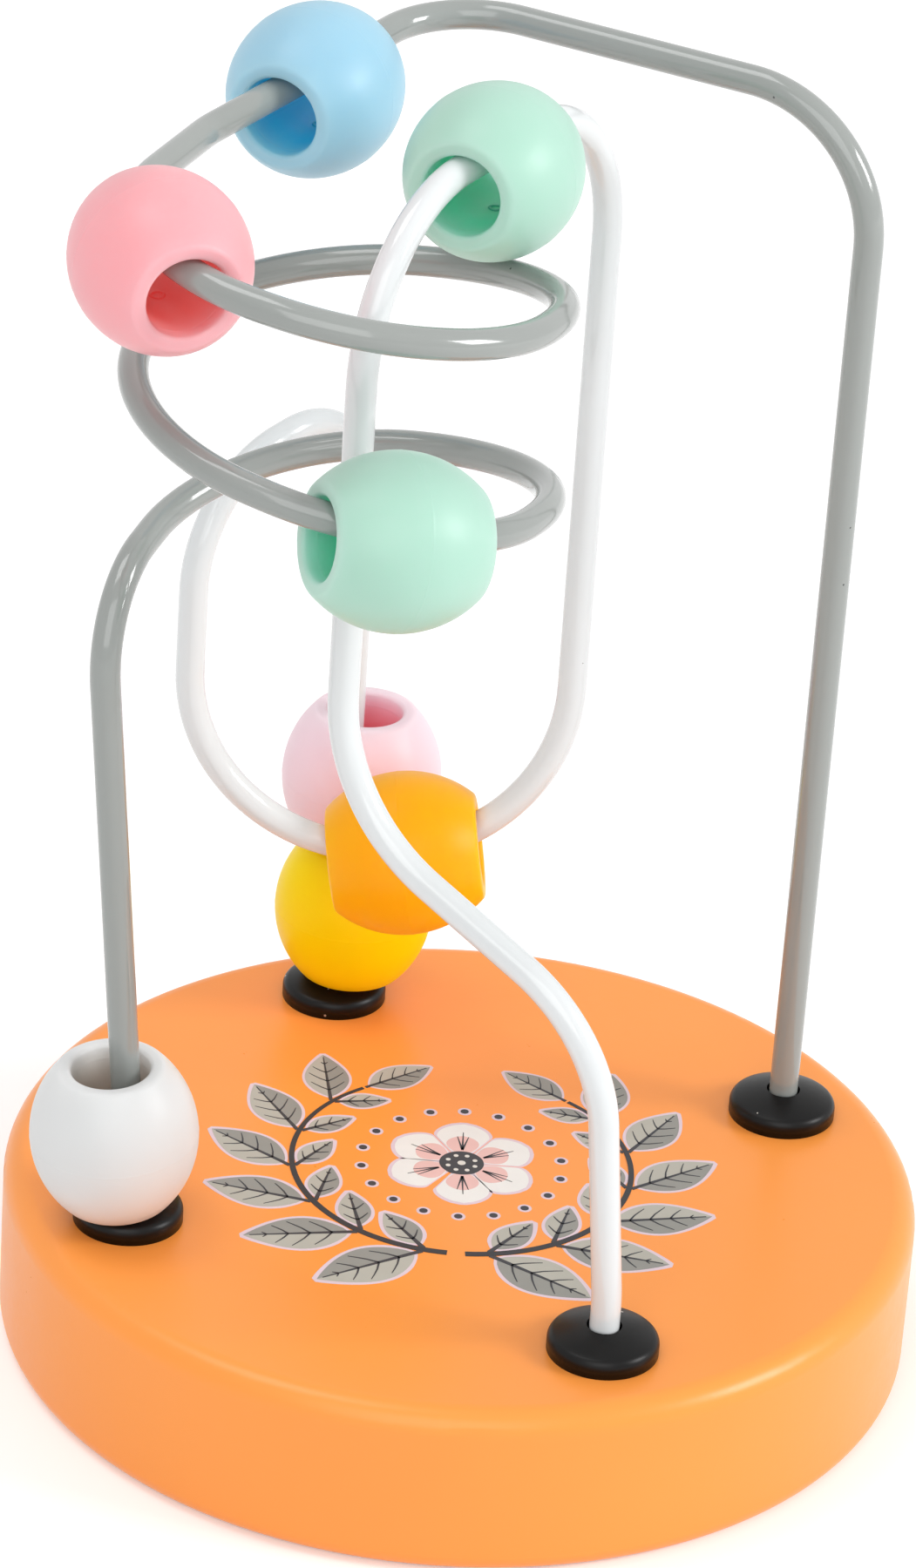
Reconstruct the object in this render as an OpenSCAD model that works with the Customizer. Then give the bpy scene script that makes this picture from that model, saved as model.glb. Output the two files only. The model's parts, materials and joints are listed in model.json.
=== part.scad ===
// Bead maze: a round painted wooden base, two bent wires that cross each other and eight loose beads.
// Millimetres, Z up, origin at the centre of the base's underside.
// The grey wire's feet stand on the X axis and the white wire's feet on the Y axis.

/* [Base] */
// Diameter of the round base
base_d = 110; // [100:1:140]
// Thickness of the base
base_h = 21.5; // [18:0.5:30]
// Rounding of the base's upper edge
base_top_edge = 3; // [1:0.5:6]
// Rounding of the base's lower edge
base_bottom_edge = 2.5; // [1:0.5:5]

/* [Wires] */
// Diameter of both coated wires
wire_d = 3.5; // [3:0.1:4.2]
// Distance of each wire's foot from the edge of the base
foot_inset = 12.4; // [10:0.2:16]
// Depth of each wire's foot in the base
foot_depth = 14; // [11:0.5:16]
// Gap round a wire's foot in its drilled hole
wire_fit = 0.05; // [0.02:0.01:0.15]
// Height above the base at which a leaning post starts to lean
knee_h = 7; // [6:0.5:10]
// Bend radius of the slight knee at the foot of a leaning post
knee_r = 30; // [20:1:50]

/* [Grey wire] */
// Lean of the left post over its height, outwards along X
grey_lean_x = -6.6; // [-9:0.2:-3]
// Lean of the left post over its height, along Y
grey_lean_y = -0.8; // [-3:0.2:3]
// Height of the corner where the left post turns into the coil
grey_post_h = 82.5; // [78:0.5:86]
// Bend radius at the top of the left post
grey_post_r = 12.5; // [8:0.5:13]
// Radius of the coil, to the middle of the wire
coil_r = 23.2; // [21:0.2:25]
// Distance of the coil's axis from the left foot, along X
coil_x = 18.9; // [17:0.1:21]
// Distance of the coil's axis from the left foot, along Y
coil_y = -6.5; // [-9:0.1:-4]
// Rise from the top of the left post to the coil's first corner
coil_step = 6; // [4:0.2:8]
// Rise of the coil in one turn
coil_pitch = 22.8; // [21:0.2:25]
// Extra rise of the coil at the left of its first turn
coil_lift = 3; // [0:0.2:4]
// Place of the corner where the wire leaves the coil, from the coil's axis along X
exit_x = -7.5; // [-10:0.5:-5]
// Place of the corner where the wire leaves the coil, from the coil's axis along Y
exit_y = 26; // [24:0.5:28]
// Bend radius of that corner
exit_r = 15; // [8:0.5:20]
// Rise from the end of the coil to the level top bar
bar_rise = 2.9; // [2:0.1:8]
// Place of the top bar's rear corner along X
bar_x = 7.5; // [3:0.5:12]
// Distance of the top bar's rear corner behind the feet's circle
bar_y = 2.4; // [0:0.2:6]
// Bend radius of the top bar's rear corner
bar_r = 11.5; // [8:0.5:14]
// Bend radius from the top bar into the right post
bar_drop_r = 16.5; // [10:0.5:20]

/* [White wire] */
// Lean of the front post over its height, along X
white_lean_x = -3.5; // [-5:0.1:-1]
// Lean of the front post over its height, along Y
white_lean_y = -0.4; // [-2:0.1:2]
// Height of the corner where the front post turns inwards
white_post_h = 42; // [38:0.5:46]
// Bend radius of that corner
white_post_r = 19.5; // [14:0.5:22]
// Place of the rise through the coil, from the coil's axis along X
rise_x = -0.8; // [-3:0.1:2]
// Place of the rise through the coil, from the coil's axis along Y
rise_y = -6.5; // [-8:0.1:-4]
// Climb from the front post's corner to the foot of that rise
rise_step = 17; // [14:0.5:20]
// Bend radius at the foot of the rise
rise_r = 22; // [16:0.5:24]
// Gap between a bead that hangs on the level arch and the coil's corner below it
arch_gap = 0.3; // [0.2:0.05:2]
// Bend radius from the rise into the arch
arch_near_r = 19.5; // [14:0.5:22]
// Bend radius from the arch into the right leg
arch_far_r = 17; // [12:0.5:20]
// Place of the top of the right leg from the back foot, along X
leg_x = 19; // [17:0.5:22]
// Place of the top of the right leg from the back foot, along Y
leg_y = -22.6; // [-25:0.2:-20]
// Lean of the right leg over its height, along X
leg_lean_x = -3.7; // [-5:0.1:0]
// Lean of the right leg over its height, along Y
leg_lean_y = -8.2; // [-10:0.1:-4]
// Height of the corner at the foot of the right leg
dip_right_h = 29.2; // [27:0.1:32]
// Bend radius of that corner
dip_right_r = 24; // [20:0.5:26]
// Place of the left leg from the back foot, along X
side_x = -26.2; // [-29:0.1:-24]
// Place of the left leg from the back foot, along Y
side_y = -12.4; // [-15:0.1:-10]
// Height of the corner at the foot of the left leg
dip_left_h = 36.3; // [34:0.1:39]
// Bend radius of that corner
dip_left_r = 24; // [20:0.5:28]
// Height of the corner over the left leg
hoop_left_h = 79.4; // [77:0.1:82]
// Bend radius of that corner
hoop_left_r = 16; // [12:0.5:18]
// Height of the corner over the back foot
hoop_back_h = 84; // [81:0.5:87]
// Bend radius of that corner
hoop_back_r = 11.5; // [9:0.5:13]

/* [Collars] */
// Diameter of a collar's flange
collar_d = 13; // [12:0.2:16]
// Height of a collar's domed top above the base
collar_h = 3.5; // [3:0.1:5]
// Radius of the dome on a collar
collar_dome_r = 15; // [12:0.5:30]
// Rounding of a collar's shoulder
collar_shoulder = 1.2; // [0.6:0.1:1.6]
// Gap between a collar and its wire
collar_gap = 0.3; // [0.2:0.05:0.6]
// Wall of the sleeve that sits in the base
sleeve_wall = 1.2; // [0.8:0.1:1.8]
// Length of the sleeve in the base
sleeve_l = 8; // [5:0.5:10]
// Gap round the sleeve in its drilled hole
sleeve_fit = 0.05; // [0.02:0.01:0.15]

/* [Beads] */
// Largest diameter of a bead
bead_d = 19.8; // [18:0.1:20.5]
// Length of a bead along its bore
bead_l = 18.2; // [16:0.1:19]
// Diameter of a bead's bore
bead_bore = 9.3; // [8.6:0.1:10]
// Diameter of a bead's end, where its edge starts to round
bead_end_d = 12.4; // [11.8:0.1:14]
// Rounding of a bead's edge
bead_edge = 0.9; // [0.5:0.1:1.2]
// Rounding of the mouth of a bead's bore
bead_mouth = 0.5; // [0.3:0.1:0.8]
// Gap between a bead at rest and what it hangs on or stands on
rest_gap = 0.3; // [0.2:0.05:0.5]

/* [Bead places] */
// Angle of the lower mint bead along the front bend of the coil's first turn
lower_mint_at = 50; // [40:1:60]
// Turn of the lower mint bead on its wire, seen from above
lower_mint_turn = 4; // [-4:1:4]
// Dip of the lower mint bead's leading end
lower_mint_dip = 4; // [-4:1:4]
// Angle of the upper pink bead along the left bend of the coil's second turn
upper_pink_at = 42; // [35:1:50]
// Turn of the upper pink bead on its wire, seen from above
upper_pink_turn = -3; // [-4:1:4]
// Distance of the blue bead from the bend where the wire leaves the coil
blue_at = 19; // [14:0.5:24]
// Turn of the blue bead on its wire, seen from above
blue_turn = 8; // [0:1:10]
// Distance of the upper mint bead from the bend at the near end of the arch
upper_mint_at = 7; // [4:0.5:12]
// Turn of the upper mint bead on its wire, seen from above
upper_mint_turn = 6; // [0:1:10]
// Angle of the orange bead along the bend at the foot of the right leg
orange_at = 80; // [70:1:90]
// Shift of the white bead's foot on its collar, along X
white_shift = -1.4; // [-2:0.1:1]
// Shift of the stacked yellow and pink beads on the back collar, along X
stack_shift_x = 2; // [0:0.5:2]
// Shift of the stacked yellow and pink beads on the back collar, along Y
stack_shift_y = 0; // [-2:0.5:0]

/* [Hidden] */
$fn = 96;
// Overlap of a cutting shape past the face that it cuts
cut = 1;
// A wire's straights run this far into its bends and are this much slimmer, so that they join in one solid
join_lap = 0.2;
join_step = 0.01;
// Shortest straight between two bends of a wire
least_straight = 0.4;

// Feet of the wires, on one circle round the middle of the base
foot_ring = base_d / 2 - foot_inset;
left_foot = [-foot_ring, 0];
right_foot = [foot_ring, 0];
front_foot = [0, -foot_ring];
back_foot = [0, foot_ring];
feet = [left_foot, front_foot, right_foot, back_foot];

// Holes that take the wires and the collars' sleeves
collar_hole_d = wire_d + 2 * collar_gap;
sleeve_d = collar_hole_d + 2 * sleeve_wall;
wire_hole_d = wire_d + 2 * wire_fit;
sleeve_hole_d = sleeve_d + 2 * sleeve_fit;

// Drop of a bead that hangs on a wire inside its wider bore
slack = (bead_bore - wire_d) / 2 - rest_gap;

// The coil turns clockwise seen from above, with four corners to a turn
corners_a_turn = 4;
coil_corners = 8;
coil_axis = left_foot + [coil_x, coil_y];
coil_reach = coil_r * sqrt(2);
lifted_corner = 3;
coil_end_h = grey_post_h + coil_step + coil_pitch * (coil_corners - 1) / corners_a_turn;
bar_h = coil_end_h + bar_rise;

// A corner of a wire: its place in plan, its height above the base and its bend radius
function corner(plan, h, r = 0) = [plan.x, plan.y, base_h + h, r];
function coil_corner(k) = let (
        a = 90 - 360 * k / corners_a_turn,
        rise = coil_pitch * k / corners_a_turn + (k == lifted_corner ? coil_lift : 0)
    ) corner(coil_axis + coil_reach * [cos(a), sin(a)], grey_post_h + coil_step + rise, coil_r);

// The arch runs over the right-hand corner of the coil's second turn, with room for a hanging bead
under_arch = 5;
arch_h = coil_corner(under_arch).z - base_h + arch_gap + bead_d / 2 + slack;

grey_route = concat(
    [corner(left_foot, -foot_depth),
     corner(left_foot, knee_h, knee_r),
     corner(left_foot + [grey_lean_x, grey_lean_y], grey_post_h, grey_post_r)],
    [for (k = [0 : coil_corners - 1]) coil_corner(k)],
    [corner(coil_axis + [exit_x, exit_y], coil_end_h, exit_r),
     corner([bar_x, back_foot.y + bar_y], bar_h, bar_r),
     corner(right_foot, bar_h, bar_drop_r),
     corner(right_foot, -foot_depth)]);

rise_plan = coil_axis + [rise_x, rise_y];
leg_plan = back_foot + [leg_x, leg_y];
side_plan = back_foot + [side_x, side_y];
white_route = [
    corner(front_foot, -foot_depth),
    corner(front_foot, knee_h, knee_r),
    corner(front_foot + [white_lean_x, white_lean_y], white_post_h, white_post_r),
    corner(rise_plan, white_post_h + rise_step, rise_r),
    corner(rise_plan, arch_h, arch_near_r),
    corner(leg_plan, arch_h, arch_far_r),
    corner(leg_plan + [leg_lean_x, leg_lean_y], dip_right_h, dip_right_r),
    corner(side_plan, dip_left_h, dip_left_r),
    corner(side_plan, hoop_left_h, hoop_left_r),
    corner(back_foot, hoop_back_h, hoop_back_r),
    corner(back_foot, -foot_depth)];

// Corners that carry a bead, by their place in the routes
coil_start = 3;
lower_mint_corner = coil_start + 2;
upper_pink_corner = coil_start + 7;
exit_corner = coil_start + coil_corners;
arch_near_corner = 4;
dip_right_corner = 6;

// Geometry of a route: directions, turning angles and the straight that each bend uses up
function unit(v) = v / norm(v);
function spot(c) = [c.x, c.y, c.z];
function is_end(route, i) = i == 0 || i == len(route) - 1;
function run(route, i) = norm(spot(route[i + 1]) - spot(route[i]));
function along(route, i) = unit(spot(route[i + 1]) - spot(route[i]));
function turned(route, i) = acos(along(route, i - 1) * along(route, i));
function wanted(route, i) = is_end(route, i) ? 0 : route[i][3] * tan(turned(route, i) / 2);
// Where two bends would meet, both are tightened until a short straight is left between them
function share(route, i) = min(1, (run(route, i) - least_straight) / (wanted(route, i) + wanted(route, i + 1)));
function ease(route, i) = is_end(route, i) ? 1 : min(share(route, i - 1), share(route, i));
function bend_r(route, i) = route[i][3] * ease(route, i);
function used(route, i) = wanted(route, i) * ease(route, i);
function bend_start(route, i) = spot(route[i]) - (is_end(route, i) ? [0, 0, 0] : along(route, i - 1) * used(route, i));
function bend_end(route, i) = spot(route[i]) + along(route, i) * used(route, i);
function bend_inward(route, i) = let (a = along(route, i - 1), b = along(route, i)) unit(b - a * (a * b));
function bend_centre(route, i) = bend_start(route, i) + bend_inward(route, i) * bend_r(route, i);

// Matrix that sends X, Y and Z to three directions at a point
function frame(x, y, z, p) = [
    [x.x, y.x, z.x, p.x],
    [x.y, y.y, z.y, p.y],
    [x.z, y.z, z.z, p.z],
    [0, 0, 0, 1]];

// A bead hangs on a wire inside its wider bore, as low as its slack allows
down = [0, 0, -1];
up = [0, 0, 1];
stack_shift = [stack_shift_x, stack_shift_y];
function hang_down(axis) = unit(down - axis * (down * axis));
function bead_frame(axis, p) = let (d = hang_down(axis)) frame(d, cross(axis, d), axis, p);
// On a bend the wire bows by this much inside the bead
function bow(r) = r - sqrt(r * r - bead_l * bead_l / 4);
// Places along a bead where its room round the wire is looked at, from one end to the other
stations = [-1, -0.5, 0, 0.5, 1];
function hung_bead(p, ahead, inward, s, turn, dip) = let (
        d = hang_down(ahead),
        side = cross(ahead, d),
        half = bead_l / 2,
        drop = min([for (e = stations) let (
                sag = s * (e * e - 0.5),
                off = inward * side * sag - half * e * tan(turn)
            ) sqrt(slack * slack - off * off) + inward * d * sag - half * e * tan(dip)]),
        axis = unit(ahead + side * tan(turn) + d * tan(dip))
    ) bead_frame(axis, p + inward * s / 2 + d * drop);
function bend_bead(route, i, a, turn = 0, dip = 0) = let (
        r = bend_r(route, i),
        inward_0 = bend_inward(route, i),
        ahead_0 = along(route, i - 1),
        inward = inward_0 * cos(a) - ahead_0 * sin(a),
        ahead = inward_0 * sin(a) + ahead_0 * cos(a)
    ) hung_bead(bend_centre(route, i) - inward * r, ahead, inward, bow(r), turn, dip);
function run_bead(route, i, run, turn = 0, dip = 0) =
    hung_bead(bend_end(route, i) + along(route, i) * run, along(route, i), [0, 0, 0], 0, turn, dip);
// A bead that stands on a collar touches the dome with the nearest part of its bore's mouth
function dome_h(r) = collar_h - collar_dome_r + sqrt(collar_dome_r * collar_dome_r - r * r);
function standing_bead(foot, shift, axis, raise = 0) = let (
        side = unit(cross([0, 1, 0], axis)),
        across = cross(axis, side),
        rim = bead_bore / 2,
        lift = max([for (a = [0 : 10 : 350]) let (
                p = side * rim * cos(a) + across * rim * sin(a)
            ) dome_h(norm([p.x, p.y] + shift)) - p.z]),
        plan = foot + shift
    ) frame(side, across, axis,
        [plan.x, plan.y, base_h + lift + rest_gap] + axis * (bead_l / 2 + raise));

// Barrel of a bead: an arc that bulges from the end's diameter to the largest diameter
bulge = (bead_d - bead_end_d) / 2;
barrel_r = (bead_l * bead_l / 4 + bulge * bulge) / (2 * bulge);
barrel_x = bead_d / 2 - barrel_r;

module base() {
    color("sandybrown")
    difference() {
        rotate_extrude() base_profile();
        for (f = feet) translate([f.x, f.y, 0]) {
            translate([0, 0, base_h - sleeve_l]) cylinder(d = sleeve_hole_d, h = sleeve_l + cut);
            translate([0, 0, base_h - foot_depth]) cylinder(d = wire_hole_d, h = foot_depth);
        }
    }
}

module base_profile() {
    r = base_d / 2;
    t = base_top_edge;
    b = base_bottom_edge;
    square([r - max(t, b), base_h]);
    translate([0, b]) square([r, base_h - t - b]);
    square([r - b, base_h - t]);
    translate([0, b]) square([r - t, base_h - b]);
    translate([r - t, base_h - t]) circle(r = t);
    translate([r - b, b]) circle(r = b);
}

module wire(route) {
    last = len(route) - 1;
    for (i = [0 : last - 1])
        straight(bend_end(route, i), bend_start(route, i + 1), i == 0 ? 0 : join_lap, i + 1 == last ? 0 : join_lap);
    for (i = [1 : last - 1]) bend(route, i);
}

module straight(a, b, lap_a, lap_b) {
    z = unit(b - a);
    x = unit(abs(z.z) < 0.9 ? cross(z, [0, 0, 1]) : cross(z, [1, 0, 0]));
    multmatrix(frame(x, cross(z, x), z, a - z * lap_a))
        cylinder(d = wire_d - 2 * join_step, h = norm(b - a) + lap_a + lap_b);
}

module bend(route, i) {
    outward = -bend_inward(route, i);
    ahead = along(route, i - 1);
    multmatrix(frame(outward, ahead, cross(outward, ahead), bend_centre(route, i)))
        rotate_extrude(angle = turned(route, i)) translate([bend_r(route, i), 0]) circle(d = wire_d);
}

module grey_wire() {
    color("darkgray") wire(grey_route);
}

module white_wire() {
    color("whitesmoke") wire(white_route);
}

module collar(foot) {
    color("black")
    translate([foot.x, foot.y, base_h])
    difference() {
        union() {
            rotate_extrude() collar_profile();
            translate([0, 0, -sleeve_l]) cylinder(d = sleeve_d, h = sleeve_l + collar_h / 2);
        }
        translate([0, 0, -sleeve_l - cut]) cylinder(d = collar_hole_d, h = sleeve_l + collar_h + 2 * cut);
    }
}

// Flange with an upright side, a rounded shoulder and a shallow dome
module collar_profile() {
    shoulder_x = collar_d / 2 - collar_shoulder;
    inner_r = collar_dome_r - collar_shoulder;
    dome_z = collar_h - collar_dome_r;
    shoulder_z = dome_z + sqrt(inner_r * inner_r - shoulder_x * shoulder_x);
    square([collar_d / 2, shoulder_z]);
    intersection() {
        translate([0, dome_z]) circle(r = collar_dome_r);
        square([shoulder_x * collar_dome_r / inner_r, collar_h]);
    }
    translate([shoulder_x, shoulder_z]) circle(r = collar_shoulder);
}

module left_collar() { collar(left_foot); }
module front_collar() { collar(front_foot); }
module right_collar() { collar(right_foot); }
module back_collar() { collar(back_foot); }

module bead(place) {
    multmatrix(place) rotate_extrude() bead_profile();
}

// Half section of a bead: bulging side, flat ends, rounded edges and a bore with rounded mouths
module bead_profile() {
    edge_z = bead_l / 2 - bead_edge;
    edge_x = barrel_x + sqrt(pow(barrel_r - bead_edge, 2) - edge_z * edge_z);
    side_z = edge_z * barrel_r / (barrel_r - bead_edge);
    bore_r = bead_bore / 2;
    mouth_z = bead_l / 2 - bead_mouth;
    mouth_x = bore_r + bead_mouth;
    intersection() {
        translate([barrel_x, 0]) circle(r = barrel_r);
        translate([bore_r, -side_z]) square([bead_d / 2, 2 * side_z]);
    }
    translate([mouth_x, -bead_l / 2]) square([edge_x - mouth_x, bead_l]);
    translate([bore_r, -mouth_z]) square([bead_edge, 2 * mouth_z]);
    for (z = [-1, 1]) {
        translate([edge_x, z * edge_z]) circle(r = bead_edge);
        translate([mouth_x, z * mouth_z]) circle(r = bead_mouth);
    }
}

module white_bead() {
    color("gainsboro") bead(standing_bead(left_foot, [white_shift, 0], along(grey_route, 1)));
}

module lower_mint_bead() {
    color("aquamarine") bead(bend_bead(grey_route, lower_mint_corner, lower_mint_at, lower_mint_turn, lower_mint_dip));
}

module upper_pink_bead() {
    color("lightpink") bead(bend_bead(grey_route, upper_pink_corner, upper_pink_at, upper_pink_turn));
}

module blue_bead() {
    color("lightskyblue") bead(run_bead(grey_route, exit_corner, blue_at, blue_turn));
}

module upper_mint_bead() {
    color("aquamarine") bead(run_bead(white_route, arch_near_corner, upper_mint_at, upper_mint_turn));
}

module orange_bead() {
    color("orange") bead(bend_bead(white_route, dip_right_corner, orange_at));
}

module yellow_bead() {
    color("gold") bead(standing_bead(back_foot, stack_shift, up));
}

module rear_pink_bead() {
    color("thistle") bead(standing_bead(back_foot, stack_shift, up, bead_l + rest_gap));
}

base();
grey_wire();
white_wire();
left_collar();
front_collar();
right_collar();
back_collar();
white_bead();
lower_mint_bead();
upper_pink_bead();
blue_bead();
upper_mint_bead();
orange_bead();
yellow_bead();
rear_pink_bead();
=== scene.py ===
"""Looks of the bead maze.

A painted base with a printed wreath, two coated wires, black collars and moulded beads.
"""

import json
import logging
import math
from dataclasses import dataclass, replace
from enum import Enum

import bmesh
import bpy
import numpy as np
from mathutils import Matrix, Vector

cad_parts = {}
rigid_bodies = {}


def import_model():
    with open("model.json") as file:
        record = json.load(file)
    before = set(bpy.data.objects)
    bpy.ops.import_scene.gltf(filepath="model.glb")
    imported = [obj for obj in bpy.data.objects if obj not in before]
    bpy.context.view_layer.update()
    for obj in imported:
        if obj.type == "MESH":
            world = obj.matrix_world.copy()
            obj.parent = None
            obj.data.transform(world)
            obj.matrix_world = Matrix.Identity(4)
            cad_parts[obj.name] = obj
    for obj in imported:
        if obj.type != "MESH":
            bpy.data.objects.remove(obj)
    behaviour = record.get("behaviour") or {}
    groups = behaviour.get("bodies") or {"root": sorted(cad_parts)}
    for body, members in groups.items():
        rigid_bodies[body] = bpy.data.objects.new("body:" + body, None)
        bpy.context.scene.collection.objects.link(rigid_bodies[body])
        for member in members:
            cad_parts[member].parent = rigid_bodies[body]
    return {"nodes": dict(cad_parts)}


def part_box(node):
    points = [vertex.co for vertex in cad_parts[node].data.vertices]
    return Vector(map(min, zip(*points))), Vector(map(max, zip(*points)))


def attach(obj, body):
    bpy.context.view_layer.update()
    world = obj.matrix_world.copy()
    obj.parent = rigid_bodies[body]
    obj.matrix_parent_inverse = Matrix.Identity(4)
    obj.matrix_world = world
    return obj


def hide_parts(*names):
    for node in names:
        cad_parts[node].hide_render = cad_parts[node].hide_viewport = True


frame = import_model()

Colour = tuple[float, float, float, float]
Triple = tuple[float, float, float]
Pair = tuple[float, float]
Outline = list[Pair]
Socket = bpy.types.NodeSocket
Piece = bpy.types.Object
Mesh = bpy.types.Mesh
Material = bpy.types.Material
Shape = bmesh.types.BMesh

LOG = logging.getLogger("bead_maze")
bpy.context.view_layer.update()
MM = 0.001
FRAME_BODY = "frame"
# Height of the base in millimetres
BASE_H = 21.5
# Turn in degrees from the base's front to the camera, which the print faces
VIEW_HEADING = 24.13
# Name of the mesh attribute that marks the bore of a bead, where its painted tint and painted glow
# go
PAINTED_BORE_MASK = "bore"
# Name of the point attribute that holds the bend radius at a wire's corner
BEND_RADIUS = "bend"
# Turn in degrees from which an edge of a solid stays sharp
SOLID_SHARP = 32.0
# Turn in degrees from which an edge of a wire or a bead stays sharp
MADE_SHARP = 40.0
# Points of a solid that are nearer than this are one point
SAME_POINT = 0.001 * MM
# Upward share of a normal from which a face counts as level
LEVEL = 0.9999
BLACK: Colour = (0.0, 0.0, 0.0, 1.0)
WHITE: Colour = (1.0, 1.0, 1.0, 1.0)
# Light spreads equally far under a surface in red, green and blue
EVEN_SPREAD = (1.0, 1.0, 1.0)
# Middle value of a noise texture
NOISE_MIDDLE = 0.5
# Sockets of the node that blends two colours
MIX_SHARE = 0
MIX_FIRST = 6
MIX_SECOND = 7
MIX_RESULT = 2


def srgb(red: int, green: int, blue: int) -> Colour:
    """Turns a display colour into the linear colour that a shader takes.

    Args:
        red: Red from 0 to 255.
        green: Green from 0 to 255.
        blue: Blue from 0 to 255.

    Returns:
        The linear colour with full alpha.
    """

    def linear(level: float) -> float:
        """Undoes the display curve for one channel."""
        return level / 12.92 if level <= 0.04045 else ((level + 0.055) / 1.055) ** 2.4

    return linear(red / 255), linear(green / 255), linear(blue / 255), 1.0


class Graph:
    """A node tree that is written as a short recipe."""

    def __init__(self, tree: bpy.types.NodeTree) -> None:
        """Starts from an empty tree."""
        self.tree = tree
        tree.nodes.clear()

    def add(self, kind: str, inputs: dict | None = None, **settings: object) -> bpy.types.Node:
        """Adds a node, sets it up and joins its inputs.

        Args:
            kind: Type of the node.
            inputs: Values or sockets by the name or the number of an input.
            settings: Properties of the node.

        Returns:
            The node.
        """
        node = self.tree.nodes.new(kind)
        for name, value in settings.items():
            setattr(node, name, value)
        for key, value in (inputs or {}).items():
            if isinstance(value, Socket):
                self.tree.links.new(value, node.inputs[key])
            else:
                node.inputs[key].default_value = value
        return node

    def noise(self, where: Socket, scale: float | Socket, detail: float) -> Socket:
        """Adds a noise texture and gives its value."""
        inputs = {"Vector": where, "Scale": scale, "Detail": detail}
        return self.add("ShaderNodeTexNoise", inputs).outputs["Fac"]

    def math(self, operation: str, *values: float | Socket) -> Socket:
        """Adds a sum on numbers and gives its result."""
        inputs = dict(enumerate(values))
        return self.add("ShaderNodeMath", inputs, operation=operation).outputs[0]

    def mix(self, share: Socket, first: Colour | Socket, second: Colour | Socket) -> Socket:
        """Adds a blend of two colours and gives the result."""
        inputs = {MIX_SHARE: share, MIX_FIRST: first, MIX_SECOND: second}
        return self.add("ShaderNodeMix", inputs, data_type="RGBA").outputs[MIX_RESULT]

    def painted_bore_mask(self) -> Socket:
        """Adds the mask of the bore's painted tint and glow, which is 1 deep in a bead."""
        return self.add("ShaderNodeAttribute", attribute_name=PAINTED_BORE_MASK).outputs["Fac"]


def blank_material(name: str) -> tuple[Material, Graph]:
    """Makes a material and gives it with its empty nodes.

    Args:
        name: Name of the material.

    Returns:
        The material and its node tree.
    """
    material = bpy.data.materials.new(name)
    material.use_nodes = True
    return material, Graph(material.node_tree)


class NodeGroup:
    """A node group with named sockets that is built once and placed where it is needed."""

    def __init__(
        self, name: str, kind: str, inputs: dict[str, str], outputs: dict[str, str]
    ) -> None:
        """Makes the group's sockets.

        Args:
            name: Name of the group.
            kind: Kind of the tree, Shader or Geometry.
            inputs: Kinds of socket by the inputs' names.
            outputs: Kinds of socket by the outputs' names.
        """
        self.tree = bpy.data.node_groups.new(name, kind + "NodeTree")
        self.graph = Graph(self.tree)
        self.ids = {socket: self._socket(socket, "INPUT", sort) for socket, sort in inputs.items()}
        for socket, sort in outputs.items():
            self._socket(socket, "OUTPUT", sort)
        self.inputs = self.graph.add("NodeGroupInput").outputs

    def _socket(self, name: str, side: str, sort: str) -> str:
        """Makes one socket and gives its identifier."""
        new_socket = self.tree.interface.new_socket
        return new_socket(name=name, in_out=side, socket_type="NodeSocket" + sort).identifier

    def close(self, results: dict[str, Socket]) -> None:
        """Joins the group's results to its output."""
        self.graph.add("NodeGroupOutput", results)

    def close_geometry(self, made: Socket) -> None:
        """Ends a geometry tree: makes its instances real and gives them the tree's material.

        Args:
            made: What the tree has made.
        """
        real = self.graph.add("GeometryNodeRealizeInstances", {"Geometry": made})
        inputs = {"Geometry": real.outputs[0], "Material": self.inputs["Material"]}
        self.close({"Geometry": self.graph.add("GeometryNodeSetMaterial", inputs).outputs[0]})

    def place(self, graph: Graph, inputs: dict[str, object]) -> bpy.types.Node:
        """Places the group in a material."""
        return graph.add("ShaderNodeGroup", inputs, node_tree=self.tree)


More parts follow.
